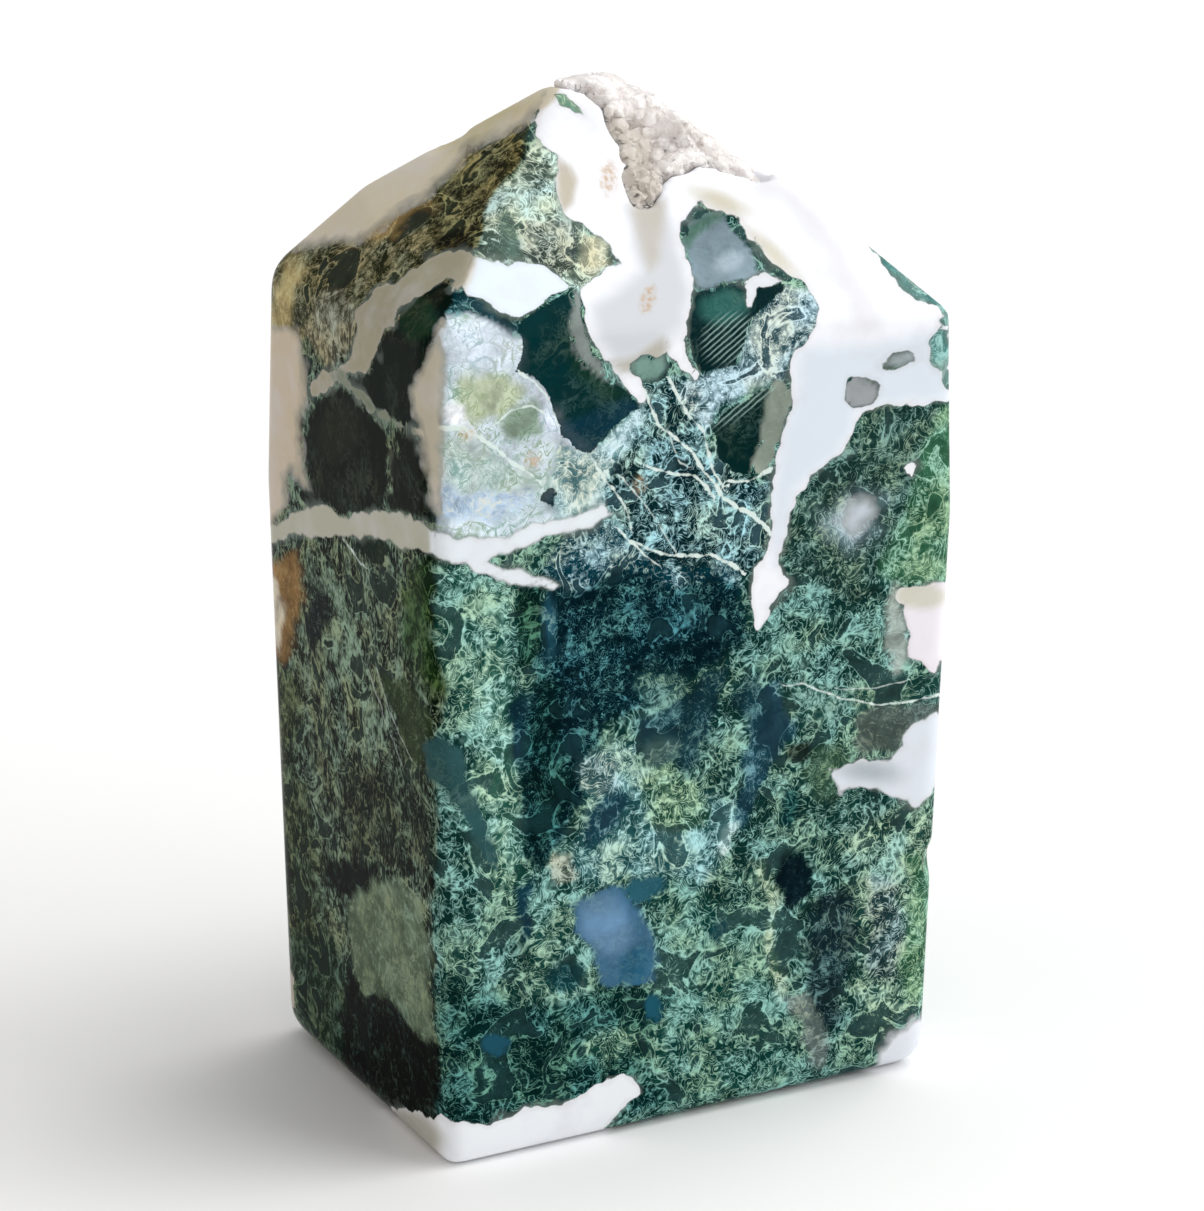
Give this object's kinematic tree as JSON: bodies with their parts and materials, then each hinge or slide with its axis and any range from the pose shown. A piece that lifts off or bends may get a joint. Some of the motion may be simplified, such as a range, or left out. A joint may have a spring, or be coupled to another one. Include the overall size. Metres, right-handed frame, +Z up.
{
  "type": "druzy moss agate tower",
  "caption": "Free-standing polished moss agate tower: a square column under a low faceted roof, with a hollow of small quartz crystals across one ridge. Stands on its flat base as an ornament.",
  "frame": {"origin": "centre of the flat base, on the surface that it stands on", "axes": "+Z up along the tower, -Y out of the broad front face, -X out of the narrow left face"},
  "size_m": [0.0552, 0.0384, 0.0991],
  "materials": {
    "moss_agate": "polished to a wet gloss",
    "druzy_quartz": "natural crystal faces"
  },
  "bodies": {
    "root": {"agate_tower": "moss_agate", "druzy_crust": "druzy_quartz"}
  },
  "joints": []
}
